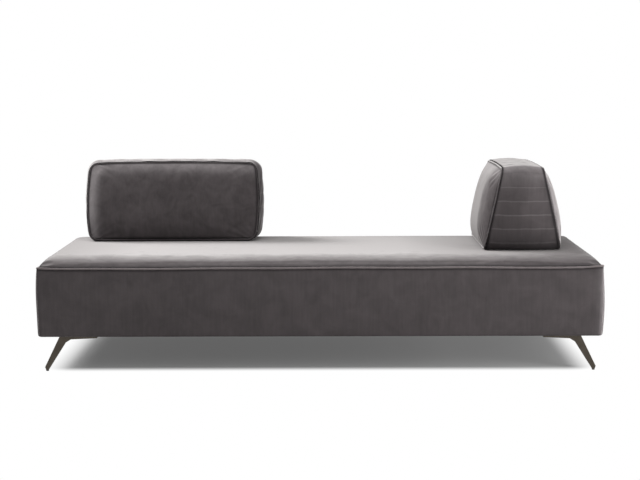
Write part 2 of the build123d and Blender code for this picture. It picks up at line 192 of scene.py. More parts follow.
def make_velvet(name, dark, light, crease, brushed):
    """Cut velvet pile: patches of two greys, streaks along the lie, brushed marks, and a painted sheen,
    painted highlights and painted shade.
    """
    finish, tree, shader = new_finish(
        name, Roughness=0.9, Sheen_Weight=0.1, Sheen_Roughness=0.3, Specular_IOR_Level=0.15
    )
    shader.inputs["Sheen Tint"].default_value = linear("#f4efed")
    place = add_node(tree, "TexCoord").outputs["Object"]
    # soft patches are about 90 mm wide
    patches = add_node(
        tree, "TexNoise", {"Vector": place, "Scale": per_mm(90), "Detail": 3.0, "Distortion": 0.7}
    )
    # the lie of the pile runs upright: streaks 9 mm wide and 110 mm long
    lie = add_node(tree, "Mapping", {"Vector": place, "Scale": (per_mm(9), per_mm(9), per_mm(110))})
    streaks = add_node(tree, "TexNoise", {"Vector": lie.outputs[0], "Scale": 1.0, "Detail": 2.0})
    # hands leave marks of about 55 mm where the pile is turned
    marks = add_node(
        tree, "TexNoise", {"Vector": place, "Scale": per_mm(55), "Detail": 4.0, "Distortion": 1.0}
    )
    # the fibres stand about 0.3 mm apart; drawn at 3 mm so that they show
    fibres = add_node(tree, "TexNoise", {"Vector": place, "Scale": per_mm(3), "Detail": 2.0})
    shares = [
        add_node(tree, "MapRange", {"Value": noise.outputs["Fac"], "From Min": low, "From Max": 1 - low})
        for noise, low in ((patches, 0.33), (streaks, 0.25), (marks, 0.36))
    ]
    both = add_node(
        tree, "Mix", {"Factor": 0.35, "A": shares[0].outputs[0], "B": shares[1].outputs[0]}, data_type="FLOAT"
    )
    turned = add_node(
        tree, "Mix", {"Factor": brushed, "A": both.outputs[0], "B": shares[2].outputs[0]}, data_type="FLOAT"
    )
    pile = add_node(tree, "Mix", {0: turned.outputs[0], 6: linear(dark), 7: linear(light)}, data_type="RGBA")
    # painted highlight: where this mark says, a lighter colour is mixed in, never quite evenly
    row = add_node(tree, "Attribute", attribute_name="stitch")
    uneven = add_node(tree, "MapRange", {"Value": turned.outputs[0], "To Min": 0.5, "To Max": 1.1})
    highlight_mask = add_node(
        tree, "Math", {0: row.outputs["Fac"], 1: uneven.outputs[0]}, operation="MULTIPLY", use_clamp=True
    )
    highlighted = add_node(
        tree, "Mix", {0: highlight_mask.outputs[0], 6: pile.outputs[2], 7: linear(highlight_colour)}, data_type="RGBA"
    )
    # painted shade: where this mark says, a dark colour is mixed in for the shade in seams, creases and at
    # feet
    seam = add_node(tree, "Attribute", attribute_name="crease")
    shaded_pile = add_node(
        tree, "Mix", {0: seam.outputs["Fac"], 6: highlighted.outputs[2], 7: linear(crease)}, data_type="RGBA"
    )
    relief = add_node(tree, "Bump", {"Height": fibres.outputs["Fac"], "Strength": 0.35, "Distance": 0.0012})
    tree.links.new(relief.outputs[0], shader.inputs["Normal"])
    # painted sheen: where the view grazes the surface a pale colour is mixed in, less of it where
    # the seam mark paints shade and where the other mark dims it
    away = add_node(tree, "Attribute", attribute_name="turned_away")
    along = add_node(tree, "LayerWeight", {"Blend": 0.5})
    grazing = add_node(tree, "Math", {0: along.outputs["Facing"], 1: sheen_focus}, operation="POWER")
    fewest, most = sheen_density - sheen_spread * brushed, sheen_density + sheen_spread * brushed
    dense = add_node(tree, "MapRange", {"Value": turned.outputs[0], "To Min": fewest, "To Max": most})
    hidden = add_node(tree, "Math", {0: seam.outputs["Fac"], 1: away.outputs["Fac"]}, operation="MAXIMUM")
    upright = add_node(tree, "Math", {0: 1.0, 1: hidden.outputs[0]}, operation="SUBTRACT")
    full = add_node(
        tree, "Math", {0: grazing.outputs[0], 1: dense.outputs[0]}, operation="MULTIPLY", use_clamp=True
    )
    painted_sheen = add_node(tree, "Math", {0: full.outputs[0], 1: upright.outputs[0]}, operation="MULTIPLY")
    velvety = add_node(
        tree, "Mix", {0: painted_sheen.outputs[0], 6: shaded_pile.outputs[2], 7: linear(painted_sheen_colour)}, data_type="RGBA"
    )
    tree.links.new(velvety.outputs[2], shader.inputs["Base Color"])
    return finish


velvet = make_velvet("cut_velvet_pile", "#534e4f", "#625c5d", "#282526", 0.1)
brushed_velvet = make_velvet("brushed_velvet_pile", "#4e494a", "#676162", "#282526", 0.35)
# the seat's piping is a lighter copy of the velvet: a painted highlight on the cord
lit_seat_cord = make_velvet("velvet_seat_piping_painted_highlight", "#7d7575", "#8b8383", "#3a3637", 0.1)
rest_cord = make_velvet("velvet_backrest_piping", "#4e494a", "#5a5556", "#262324", 0.1)
print("velvet", velvet.name, brushed_velvet.name, lit_seat_cord.name, rest_cord.name)

# %% [markdown]
# The legs are steel blades with a dark bronze lacquer. It makes the gloss nearly even, and the
# metal flakes in it are too fine to see, so a faint cloud of tone is enough.
# The hidden fittings are zinc plated, which shows as a patchwork of pale crystals.

# %% Metals
bronze, tree, shader = new_finish("bronze_lacquered_steel", Metallic=0.85, Roughness=0.38)
place = add_node(tree, "TexCoord").outputs["Object"]
# lacquer flow marks, about 25 mm
flow = add_node(tree, "TexNoise", {"Vector": place, "Scale": per_mm(25), "Detail": 3.0})
tone = add_node(
    tree, "Mix", {0: flow.outputs["Fac"], 6: linear("#3f3a33"), 7: linear("#575048")}, data_type="RGBA"
)
tree.links.new(tone.outputs[2], shader.inputs["Base Color"])
gloss = add_node(tree, "MapRange", {"Value": flow.outputs["Fac"], "To Min": 0.30, "To Max": 0.46})
tree.links.new(gloss.outputs[0], shader.inputs["Roughness"])
# orange peel of a sprayed coat, 1.5 mm
peel = add_node(tree, "TexNoise", {"Vector": place, "Scale": per_mm(1.5)})
dimples = add_node(tree, "Bump", {"Height": peel.outputs["Fac"], "Strength": 0.06, "Distance": 0.0004})
tree.links.new(dimples.outputs[0], shader.inputs["Normal"])

zinc, tree, shader = new_finish("zinc_plated_steel", Metallic=1.0, Roughness=0.35)
place = add_node(tree, "TexCoord").outputs["Object"]
# plating crystals, about 1 mm
crystals = add_node(tree, "TexVoronoi", {"Vector": place, "Scale": per_mm(1)})
tone = add_node(
    tree, "Mix", {0: crystals.outputs["Distance"], 6: linear("#c9cccf"), 7: linear("#9da2a7")},
    data_type="RGBA",
)
tree.links.new(tone.outputs[2], shader.inputs["Base Color"])
print("metals", bronze.name, zinc.name)

# %% [markdown]
# The frame is hidden, but it is still real: rails of plywood, blocks of beech. Both are wood,
# so both get long thin streaks of two browns; plywood also shows its layers.

# %% Woods


def make_wood(name, pale, dark, grain, ring):
    """Planed wood: noise stretched along the grain mixes two browns."""
    finish, tree, shader = new_finish(name, Roughness=0.55)
    place = add_node(tree, "TexCoord").outputs["Object"]
    along = add_node(tree, "Mapping", {"Vector": place, "Scale": grain})
    fibres = add_node(
        tree, "TexNoise", {"Vector": along.outputs[0], "Scale": 1.0, "Detail": 4.0, "Distortion": ring}
    )
    tone = add_node(
        tree, "Mix", {0: fibres.outputs["Fac"], 6: linear(pale), 7: linear(dark)}, data_type="RGBA"
    )
    tree.links.new(tone.outputs[2], shader.inputs["Base Color"])
    relief = add_node(tree, "Bump", {"Height": fibres.outputs["Fac"], "Strength": 0.1, "Distance": 0.0005})
    tree.links.new(relief.outputs[0], shader.inputs["Normal"])
    return finish


# plywood layers are 1.5 mm thick; beech flecks are 1.2 mm wide and 40 mm long
plywood = make_wood("birch_plywood", "#d9bd92", "#b58f5e", (per_mm(60), per_mm(60), per_mm(1.5)), 0.2)
beech = make_wood("planed_beech", "#cfa67a", "#a97c50", (per_mm(1.2), per_mm(1.2), per_mm(40)), 0.6)
print("woods", plywood.name, beech.name)

# %% [markdown]
# Three plain stuffs are left. The webbing is a woven elastic strap, so two sets of waves cross
# each other. The dust cover is a pressed felt of black fibres. The glides are moulded nylon.

# %% Webbing, dust cloth and nylon
webbing, tree, shader = new_finish("elastic_webbing", Roughness=0.85)
place = add_node(tree, "TexCoord").outputs["Object"]
# threads are 1.5 mm wide; drawn as ribs 25 mm apart so that they show. A wave node turns by 20
# radians per metre for each unit of its scale, so this scale turns once in 25 mm
thread_scale = 12.5
warp = add_node(tree, "TexWave", {"Vector": place, "Scale": thread_scale}, bands_direction="X")
weft = add_node(tree, "TexWave", {"Vector": place, "Scale": thread_scale}, bands_direction="Y")
weave = add_node(tree, "Math", {0: warp.outputs["Fac"], 1: weft.outputs["Fac"]}, operation="MULTIPLY")
tone = add_node(
    tree, "Mix", {0: weave.outputs[0], 6: linear("#3b332c"), 7: linear("#6d6154")}, data_type="RGBA"
)
tree.links.new(tone.outputs[2], shader.inputs["Base Color"])

dust_cloth, tree, shader = new_finish("pressed_felt_dust_cloth", Roughness=0.95)
place = add_node(tree, "TexCoord").outputs["Object"]
# pressed dots of the felt, 3 mm apart
dots = add_node(tree, "TexVoronoi", {"Vector": place, "Scale": per_mm(3)})
tone = add_node(
    tree, "Mix", {0: dots.outputs["Distance"], 6: linear("#1c1b1b"), 7: linear("#343232")}, data_type="RGBA"
)
tree.links.new(tone.outputs[2], shader.inputs["Base Color"])
press = add_node(tree, "Bump", {"Height": dots.outputs["Distance"], "Strength": 0.4, "Distance": 0.0006})
tree.links.new(press.outputs[0], shader.inputs["Normal"])

nylon, tree, shader = new_finish("moulded_nylon", Roughness=0.5)
place = add_node(tree, "TexCoord").outputs["Object"]
# spark-eroded mould grain, 0.8 mm
grain = add_node(tree, "TexNoise", {"Vector": place, "Scale": per_mm(0.8)})
tone = add_node(
    tree, "Mix", {0: grain.outputs["Fac"], 6: linear("#1d1c1b"), 7: linear("#2b2a29")}, data_type="RGBA"
)
tree.links.new(tone.outputs[2], shader.inputs["Base Color"])
print("plain stuffs", webbing.name, dust_cloth.name, nylon.name)

# %% [markdown]
# ## The hard pieces
# These keep their CAD shape. Each node is an object of the node's name, so a finish is given
# by putting it in the material slot.

# %% Dress the hard nodes
hard_finishes = {
    bronze: ("leg_front_", "leg_back_"),
    zinc: ("frame_screws", "leg_bolts", "tee_nuts", "left_backrest_ballast", "right_backrest_ballast"),
    plywood: ("front_rail", "back_rail", "left_end_rail", "right_end_rail", "left_backrest_board",
              "right_backrest_board", "cross_rail_"),
    beech: ("corner_post_", "leg_block_"),
    webbing: ("cross_webbing", "long_webbing"),
    nylon: ("foot_glides",),
}
dressed = 0
for finish, starts in hard_finishes.items():
    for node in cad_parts:
        if node.startswith(starts):
            mesh = bpy.data.objects[node].data
            mesh.materials.clear()
            mesh.materials.append(finish)
            dressed += 1
print("hard nodes dressed:", dressed)

# %% [markdown]
# ## Cloth as a grid
# Every soft surface below is a grid: a function of two parameters gives all its points at
# once, and the quads follow from the rows and columns. A few slow sine waves in random
# directions make the cloth look handled, and the same seed gives the same cloth each time.

# %% Grid helpers


def grid_faces(rows, columns, closed=False, ring=False):
    """Quads of a grid stored row by row; closed joins the last column to the first, ring the rows."""
    row, column = np.meshgrid(
        np.arange(rows if ring else rows - 1), np.arange(columns if closed else columns - 1), indexing="ij"
    )
    down, right = (row + 1) % rows, (column + 1) % columns
    corners = [(row, column), (row, right), (down, right), (down, column)]
    return np.stack([r * columns + c for r, c in corners], -1).reshape(-1, 4)


def make_piece(name, points, faces, body, finish, stands_for, slot, **marks):
    """Put a grid's points and quads in a smooth mesh, with marks that the velvet reads at each point,
    and hide the CAD nodes that it stands for."""
    mesh = bpy.data.meshes.new(name)
    mesh.from_pydata(points.reshape(-1, 3).tolist(), [], faces.tolist())
    mesh.shade_smooth()
    mesh.materials.append(finish)
    for mark, values in marks.items():
        attribute = mesh.attributes.new(mark, "FLOAT", "POINT")
        attribute.data.foreach_set("value", np.clip(values, 0, 1).ravel().astype(np.float32))
    piece = bpy.data.objects.new(name, mesh)
    scene.collection.objects.link(piece)
    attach(piece, body)
    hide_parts(*stands_for)
    print(name, len(mesh.vertices), "points,", len(mesh.polygons), "quads")
    return piece


def give_thickness(piece, thickness):
    """A wall of even thickness, grown inwards from the outer face."""
    wall = piece.modifiers.new("thickness", "SOLIDIFY")
    wall.thickness = thickness
    wall.offset = -1


def soft_waves(places, sizes, seed):
    """Slow waves, mostly between -1 and 1: sines along random directions in space, added up and
    divided by the root of their number."""
    chance = np.random.default_rng(seed)
    total = 0
    for size in sizes:
        direction = chance.normal(size=3)
        direction *= 2 * np.pi / (size * np.linalg.norm(direction))
        total = total + np.sin(places @ direction + chance.uniform(0, 2 * np.pi))
    return total / np.sqrt(len(sizes))


def towards_ends(count, share):
    """Steps from -1 to 1 that lie closer together near both ends: even steps mixed with their sine."""
    even = np.linspace(-1, 1, count)
    return (1 - share) * even + share * np.sin(np.pi / 2 * even)


def quarter(distance, roll, fullness=2):
    """The rise of a quarter ellipse, or a fuller one: 0 at the edge, 1 from the roll's width inwards."""
    return (1 - (1 - np.clip(distance / roll, 0, 1)) ** fullness) ** (1 / fullness)


# %% [markdown]
# ## Blowing up a cover
# A padded cover is cloth held along its seams and pushed out by the foam. Blender's cloth
# solver does that: the border is pinned, an even pressure pushes from inside, gravity is off,
# and the cloth is let out a little so that it wrinkles where there is too much of it. After
# twenty frames the points are read back, no point may move further than a cap, and the solver
# is thrown away.

# %% Cloth solver
cloth_frames = 20


def blow_up(points, faces, pinned, pressure, slack, cap):
    """Points of a pinned cover after some frames of pressure, each moved by the cap at most."""
    flat = points.reshape(-1, 3)
    mesh = bpy.data.meshes.new("blown_cover")
    mesh.from_pydata(flat.tolist(), [], faces.tolist())
    cover = bpy.data.objects.new("blown_cover", mesh)
    scene.collection.objects.link(cover)
    held = cover.vertex_groups.new(name="held")
    held.add(np.flatnonzero(pinned.ravel()).tolist(), 1.0, "REPLACE")
    solver = cover.modifiers.new("cloth", "CLOTH")
    cloth = solver.settings
    cloth.vertex_group_mass = "held"
    cloth.quality = 5
    cloth.mass = 0.3
    cloth.tension_stiffness = 15
    cloth.compression_stiffness = 15
    cloth.shear_stiffness = 5
    cloth.bending_stiffness = 0.8
    cloth.use_pressure = True
    cloth.uniform_pressure_force = pressure
    cloth.shrink_min = -slack
    cloth.effector_weights.gravity = 0
    solver.point_cache.frame_start = 1
    solver.point_cache.frame_end = cloth_frames
    for step in range(1, cloth_frames + 1):
        scene.frame_set(step)
    blown = cover.evaluated_get(bpy.context.evaluated_depsgraph_get()).data
    moved = np.empty(len(flat) * 3, np.float32)
    blown.vertices.foreach_get("co", moved)
    shift = moved.reshape(-1, 3) - flat
    length = np.linalg.norm(shift, axis=1, keepdims=True)
    shift *= np.minimum(1, cap / np.maximum(length, 1e-9))
    bpy.data.objects.remove(cover)
    bpy.data.meshes.remove(mesh)
    scene.frame_set(1)
    print("  blown up by", round(float(length.mean()) * 1000, 1), "mm on average, before the cap")
    return (flat + shift).reshape(points.shape)


# %% [markdown]
# ## The seam of the base
# One seam runs round the base where the seat meets the sides. A sewn seam is never quite
# straight: it waves by a millimetre or two, and it lifts at the corners, where four
# thicknesses of velvet meet. Seat, piping and sides all read the same function, so they stay
# joined.

# %% Seam height
seam_drop = 0.001
seam_wave = 0.0014
lift_fade = 0.06
corner_lift = {(-1, -1): 0.004, (1, -1): 0.006, (1, 1): 0.005, (-1, 1): 0.004}


def seam_at(x, y):
    """Height of the seam: a slow wave, and a lift that fades as a bell curve from each corner."""
    places = np.stack([x, y, 0 * x], -1)
    height = seam_height - seam_drop + seam_wave * soft_waves(places, (0.31, 0.43, 0.58, 0.83), 3)
    for (right, back), lift in corner_lift.items():
        away = np.hypot(right * half_length - x, back * half_depth - y)
        height = height + lift * np.exp(-((away / lift_fade) ** 2))
    return height


print("seam at the front corners", seam_at(np.array([-half_length, half_length]), -half_depth + np.zeros(2)))

# %% [markdown]
# ## The sides of the base
# Each side is one piece of velvet over thin padding. Its profile starts under the base, rolls
# round the lower edge, swells a little and tucks in below the piping. That profile is carried
# along the side and half-way round the corner at each end, and the corner gets tighter
# towards the seam, as a stretched cover does. Below the seam the cloth puckers a little, and just
# below the piping it is painted darker, a painted shade. On the right-hand end and round its
# corners a lighter colour is painted, a painted highlight.

# %% Side panels
panel_height = seam_height - base_bottom
hem_from, hem_to = 0.037, 0.014
lower_roll = 0.009
steps_per_metre = 130
under_piping = 0.002
drift_height, pucker_height = 0.0018, 0.0011
side_crease = 0.00687
highlight_width, highlight_hem_fade = 0.022, 0.1
side_rows = 44


def side_profile(count):
    """Inset and share of the height: a hem, a quarter round, then a shallow parabola of a swell."""
    hem = np.stack([np.linspace(hem_from, hem_to, 5)[:-1], np.zeros(4)], -1)
    turn = np.linspace(0, np.pi / 2, 9)
    rounded = np.stack(
        [panel_puff + lower_roll * (1 - np.sin(turn)), lower_roll * (1 - np.cos(turn)) / panel_height], -1
    )
    share = np.linspace(lower_roll / panel_height, 1, count)[1:]
    swell = panel_puff * (2 * share - 1) ** 2
    return np.concatenate([hem, rounded, np.stack([swell, share], -1)])


def side_points(side, count):
    """Points of one side: the profile at every step along the side and its two half corners."""
    run, reach = (half_length, half_depth) if side % 2 == 0 else (half_depth, half_length)
    inset, share = (column[:, None] for column in side_profile(count).T)
    arc = np.linspace(0, np.pi / 4, 11)
    steps = int(run * steps_per_metre)
    angle = np.concatenate([-0.75 * np.pi + arc, np.full(steps, -np.pi / 2), -np.pi / 2 + arc])
    hand = np.concatenate([-np.ones_like(arc), np.linspace(-1, 1, steps + 2)[1:-1], np.ones_like(arc)])
    corner = corner_radius + (seam_corner - corner_radius) * share**2
    corner = np.maximum(corner, inset)
    radius = corner - inset
    x = hand * (run - corner) + radius * np.cos(angle)
    y = corner - reach + radius * np.sin(angle)
    turned = np.pi / 2 * side
    plan = np.stack([x * np.cos(turned) - y * np.sin(turned), x * np.sin(turned) + y * np.cos(turned)], -1)
    top = seam_at(plan[..., 0], plan[..., 1]) - under_piping
    z = base_bottom + share * (top - base_bottom)
    outward = np.stack([np.cos(angle + turned) + 0 * z, np.sin(angle + turned) + 0 * z, 0 * z], -1)
    points = np.concatenate([plan, z[..., None]], -1)
    face = np.sin(np.pi * np.clip(share, 0, 1))
    drift = drift_height * soft_waves(points, (0.27, 0.36, 0.52, 0.7), 11) * face
    pucker = pucker_height * soft_waves(points * (1, 1, 0.25), (0.045, 0.062, 0.09), 12)
    pucker = pucker * np.exp(-(1 - share) * 9) * (1 - share) * 4
    # painted shade just below the piping
    crease = np.exp(-(((1 - share) * panel_height / side_crease) ** 2)) + 0 * z
    # painted highlight on the right-hand end and round its corners
    highlight_mask = 0.5 * np.exp(-(((half_length - plan[..., 0]) / highlight_width) ** 2))
    highlight_mask = highlight_mask * np.exp(-(((reach - abs(y)) / highlight_hem_fade) ** 2))
    return points + outward * (drift + pucker)[..., None], crease, highlight_mask


for side, name in enumerate(side_names):
    points, crease, highlight_mask = side_points(side, side_rows)
    panel = make_piece(
        f"{name}_panel", points, grid_faces(*points.shape[:2]), "base", velvet,
        (f"{name}_cover", f"{name}_padding"), "velvet", crease=crease, stitch=highlight_mask,
    )
    give_thickness(panel, velvet_thickness)

# %% [markdown]
# ## The seat
# The seat is one broad cushion. From its seam it rises over a roll: a hand's width at the back,
# steeper at the ends, and three times as long at the front, where people sit down. From there
# on it is nearly flat. It could be a box with a bevel, but a bevel has one curve all round, so
# the height is a product of one rise from each edge. Near the seam the cloth is faintly
# gathered; the flat middle only rolls gently. The whole cover is worn down by a few
# millimetres, which keeps it clear of the backrests that slide over it.

# %% Top of the seat
seat_edge = 0.0101
seat_roll = 0.1
front_roll = 0.3
end_fullness, front_fullness = 4.5, 2.2
worn_down = 0.003
gather_height, roll_height = 0.0004, 0.0006
gather_from_seam, gather_width, calm_edge = 0.03, 0.025, 0.15
steps_x, steps_y = towards_ends(190, 0.8), towards_ends(112, 0.75)
across, deep = np.meshgrid(steps_x, steps_y)
x, y = across * (half_length - seat_edge), deep * (half_depth - seat_edge)
from_end = half_length - seat_edge - abs(x)
from_front, from_back = half_depth - seat_edge + y, half_depth - seat_edge - y
nearest = np.minimum(from_end, np.minimum(from_front, from_back))
crown = quarter(from_end, seat_roll, end_fullness) * quarter(from_back, seat_roll)
crown = crown * quarter(from_front, front_roll, front_fullness)
places = np.stack([x, y, 0 * x], -1)
z = seam_height + (seat_height - seam_height) * crown + (seam_at(x, y) - seam_height) * (1 - crown) ** 2
gather = np.exp(-(((nearest - gather_from_seam) / gather_width) ** 2))
z += gather_height * gather * soft_waves(places, (0.055, 0.075, 0.11, 0.16), 21) - worn_down
z += roll_height * np.clip(nearest / calm_edge, 0, 1) * soft_waves(places, (0.4, 0.55, 0.8), 22)
top = np.stack([x, y, z], -1)
rim = nearest < 1e-6
top = blow_up(top, grid_faces(*x.shape), rim, pressure=0.3, slack=0.001, cap=0.0015)
print("seat top from", top[..., 2].min(), "to", top[..., 2].max())

# %% [markdown]
# A cushion is a closed form. Its bottom is the same grid, drawn in a little and laid flat, and
# one ring of quads joins the two borders.

# %% Closed form of the seat
bottom_inset = 0.018
bottom = np.stack([
    across * (half_length - bottom_inset), deep * (half_depth - bottom_inset), 0 * x + foam_bottom
], -1)
rows, columns = x.shape
loop = np.concatenate([
    np.arange(columns - 1),
    np.arange(rows - 1) * columns + columns - 1,
    rows * columns - 1 - np.arange(columns - 1),
    (rows - 1 - np.arange(rows - 1)) * columns,
])
after = np.roll(loop, -1)
wall = np.stack([loop + x.size, after + x.size, after, loop], -1)
faces = np.concatenate([grid_faces(rows, columns), grid_faces(rows, columns)[:, ::-1] + x.size, wall])
points = np.concatenate([top.reshape(-1, 3), bottom.reshape(-1, 3)])
print("seat closed with", len(wall), "quads round its rim")

# %% [markdown]
# The painted sheen of the seat is not even. Towards the right end, where the right-hand
# backrest shades the seat, and a little at the left end, it is dimmed: a painted shade. It is
# dimmed a little along the back too, and in patches on the front roll, where the pile lies the
# other way. Along the seam it is painted darker, a painted shade.

# %% Marks on the seat
# painted shade: the sheen is dimmed towards both ends; less along the back, random patches on the front roll
painted_shade_right = 0.72 * np.clip((x - 0.35) / 0.7, 0, 1)
painted_shade_left = 0.3 * np.clip((-x - 0.75) / 0.35, 0, 1)
dimmer_back = 0.2 * np.exp(-((from_back / 0.12) ** 2))
patches = np.clip(soft_waves(places, (0.09, 0.13, 0.21, 0.3), 23), -1, 1)
away_front = 0.12 * patches * np.exp(-((from_front / 0.16) ** 2))
turned_away = painted_shade_right + painted_shade_left + dimmer_back + away_front
# painted shade along the seam, with a wider, fainter band
crease = np.exp(-((nearest / 0.007) ** 2)) + 0.6 * np.exp(-((nearest / 0.03) ** 2))
seat = make_piece(
    "seat_cushion", points, faces, "base", brushed_velvet,
    ("seat_top_cover", "seat_topper_foam", "seat_core_foam"), "velvet",
    crease=np.concatenate([crease.ravel(), crease.ravel()]),
    turned_away=np.concatenate([turned_away.ravel(), turned_away.ravel()]),
)

# %% [markdown]
# ## Piping
# Piping is a cord in a folded strip of velvet, sewn into the seam. It is a small circle
# carried along a path. A bevelled curve could do that too, but here the circle's size follows
# slow waves, because the pile makes a cord a little uneven. The circle needs two directions at
# each step: outwards from the path and across it.

# %% Tube along a path
cord_swell = 0.07


def even_steps(path, count):
    """Points spread evenly along a closed path, by its running length."""
    closed = np.concatenate([path, path[:1]])
    run = np.concatenate([[0], np.cumsum(np.linalg.norm(np.diff(closed, axis=0), axis=1))])
    at = np.linspace(0, run[-1], count, endpoint=False)
    return np.stack([np.interp(at, run, column) for column in closed.T], -1)


def tube_points(path, across, radius, sides, seed):
    """A circle at each step of a closed path, in the plane of across and of path x across, its radius
    swelled by slow waves."""
    along = np.roll(path, -1, 0) - np.roll(path, 1, 0)
    along /= np.linalg.norm(along, axis=1, keepdims=True)
    outward = np.cross(along, across)
    outward /= np.linalg.norm(outward, axis=1, keepdims=True)
    angle = np.linspace(0, 2 * np.pi, sides, endpoint=False)[None, :, None]
    swell = radius * (1 + cord_swell * soft_waves(path, (0.02, 0.033, 0.05, 0.11), seed))[:, None, None]
    return path[:, None] + swell * (np.cos(angle) * outward[:, None] + np.sin(angle) * across[:, None])


# %% [markdown]
# The seat's piping follows the seam. Its path starts as four quarter circles, one at each
# corner; points are spread evenly along it and lifted to the height of the seam.

# %% Seat piping
tube_sides = 12
seat_piping_steps = 1400
inset = 0.006
arc = np.linspace(0, np.pi / 2, 12)
corners = [(1, -1, -0.5), (1, 1, 0), (-1, 1, 0.5), (-1, -1, 1)]
path = np.concatenate([
    np.stack([
        right * (half_length - inset - seam_corner) + seam_corner * np.cos(arc + np.pi * turn),
        back * (half_depth - inset - seam_corner) + seam_corner * np.sin(arc + np.pi * turn),
    ], -1)
    for right, back, turn in corners
])
path = even_steps(path, seat_piping_steps)
path = np.concatenate([path, seam_at(path[:, 0], path[:, 1])[:, None]], -1)
points = tube_points(path, np.tile([0.0, 0.0, 1.0], (len(path), 1)), seat_piping, tube_sides, 31)
make_piece(
    "seat_piping", points, grid_faces(*points.shape[:2], closed=True, ring=True), "base", lit_seat_cord,
    ("seat_welt",), "piping",
)

# %% [markdown]
# ## The backrests
# Both backrests are the same loose wedge, turned a quarter. Two sloping panels are cut as
# rectangles with bowed sides and rounded corners, and a quilted band runs up one end, over
# the top and down the other. One function maps a plain square on to the cut panel; panel,
# piping and band all start from its border, so they fit each other.

# %% Cut of a panel


def cut_panel(a, b, inset=0.0):
    """The panel's flat cut from a square: corners pressed round, ends and head bowed by parabolas."""
    half, tall = rest_half - inset, slope - 2 * inset
    x, y = abs(a) * half, abs(b) * tall / 2
    radius = np.where(b > 0, head_radius, foot_radius) - inset
    p = np.clip((x - half + radius) / radius, 0, 1)
    q = np.clip((y - tall / 2 + radius) / radius, 0, 1)
    x = np.minimum(x, half - radius) + radius * p * np.sqrt(1 - q**2 / 2)
    y = np.minimum(y, tall / 2 - radius) + radius * q * np.sqrt(1 - p**2 / 2)
    x, y = np.sign(a) * x, slope / 2 + np.sign(b) * y
    bowed = x * (1 + end_bow / half * (1 - (2 * y / slope - 1) ** 2))
    return bowed, y + head_bow * (1 - (x / half) ** 2) * y / slope


def on_panel(x, y, out):
    """A point of the front panel: along its slope, and out from it, in the backrest's own axes."""
    return np.stack([
        x,
        y * np.sin(lean) - out * np.cos(lean) - rest_base / 2,
        base_cloth + y * np.cos(lean) + out * np.sin(lean),
    ], -1)


rest_places = {}
for side in ("left", "right"):
    low, high = box(f"{side}_backrest_base_cloth")
    rest_places[side] = np.array([*(low + high)[:2] / 2, low[2]])


def stand(side, points, back=False):
    """Carry points from a backrest's own axes to where it stands; its back panel is turned round."""
    u, w, h = np.moveaxis(points, -1, 0)
    u, w = (-u, -w) if back else (u, w)
    u, w = (u, w) if side == "left" else (-w, u)
    return np.stack([u, w, h], -1) + rest_places[side]


print("backrests stand at", rest_places)

# %% [markdown]
# A panel is blown up from its cut: it starts as a shallow crown, an ellipse-like rise from
# each edge, and the cloth solver adds the last millimetres and the wrinkles. Along one end and
# the head a lighter strip is painted, a painted highlight. At the border and the foot it is
# painted darker, a painted shade.

# %% Shape and marks of a panel
across, up = np.meshgrid(towards_ends(124, 0.6), towards_ends(70, 0.6))
border = (abs(across) > 1 - 1e-6) | (abs(up) > 1 - 1e-6)
panel_inset = 0.0045
x, y = cut_panel(across, up, panel_inset)
to_end = (1 - abs(across)) * rest_half
to_foot, to_head = (1 + up) * slope / 2, (1 - up) * slope / 2
rise = quarter(to_end, side_roll) * quarter(to_foot, foot_roll) * quarter(to_head, head_roll)
nearest = np.minimum(np.minimum(to_end, to_foot), to_head)
# painted shade at the border and towards the foot
crease = np.exp(-((nearest / 0.006) ** 2)) + 0.25 * np.exp(-((to_foot / 0.06) ** 2))
to_left = (1 + across) * rest_half
# painted highlight along one end and below the head
highlight_left = 1.2 * np.exp(-(((to_left - 0.013) / 0.028) ** 2))
highlight_head = 0.6 * np.exp(-(((to_head - 0.02) / 0.03) ** 2))
highlight_mask = highlight_left + highlight_head
# the panels' painted sheen is dimmed evenly
turned_away = np.full_like(x, 0.4)
print("panel of", rise.shape, "points, crown", rest_crown)

# %% [markdown]
# Each backrest has a front and a back panel of the same cut. Each one gets slow waves of its
# own, so that no two look copied, and is then blown up and stood in its place.

# %% Backrest panels
border_out = 0.002
panel_waves, calm_border = 0.0006, 0.06
places = np.stack([x, y, 0 * x], -1)
for index, side in enumerate(("left", "right")):
    for back in (False, True):
        seed = 41 + 2 * index + back
        out = border_out + (rest_crown - 2 * border_out) * rise
        calm = np.clip(nearest / calm_border, 0, 1)
        out += panel_waves * calm * soft_waves(places, (0.16, 0.22, 0.31), seed)
        flat = np.stack([x, y, out], -1)
        blown = blow_up(flat, grid_faces(*x.shape), border, pressure=1.0, slack=0.0, cap=0.002)
        points = stand(side, on_panel(*np.moveaxis(blown, -1, 0)), back)
        name = f"{side}_backrest_{'back' if back else 'front'}"
        panel = make_piece(
            f"{name}_panel", points, grid_faces(*x.shape), f"{side}_backrest", brushed_velvet,
            (f"{name}_cover", f"{name}_pad"), "velvet", crease=crease, stitch=highlight_mask, turned_away=turned_away,
        )
        give_thickness(panel, velvet_thickness)

# %% [markdown]
# Each panel has its own piping, a thinner cord round the whole cut. One of the four, on the
# side that the light reaches, gets a lighter colour, a painted highlight.

# %% Backrest piping
piping_gap = 0.0001
piping_wave = 0.0008
rest_piping_steps = 760
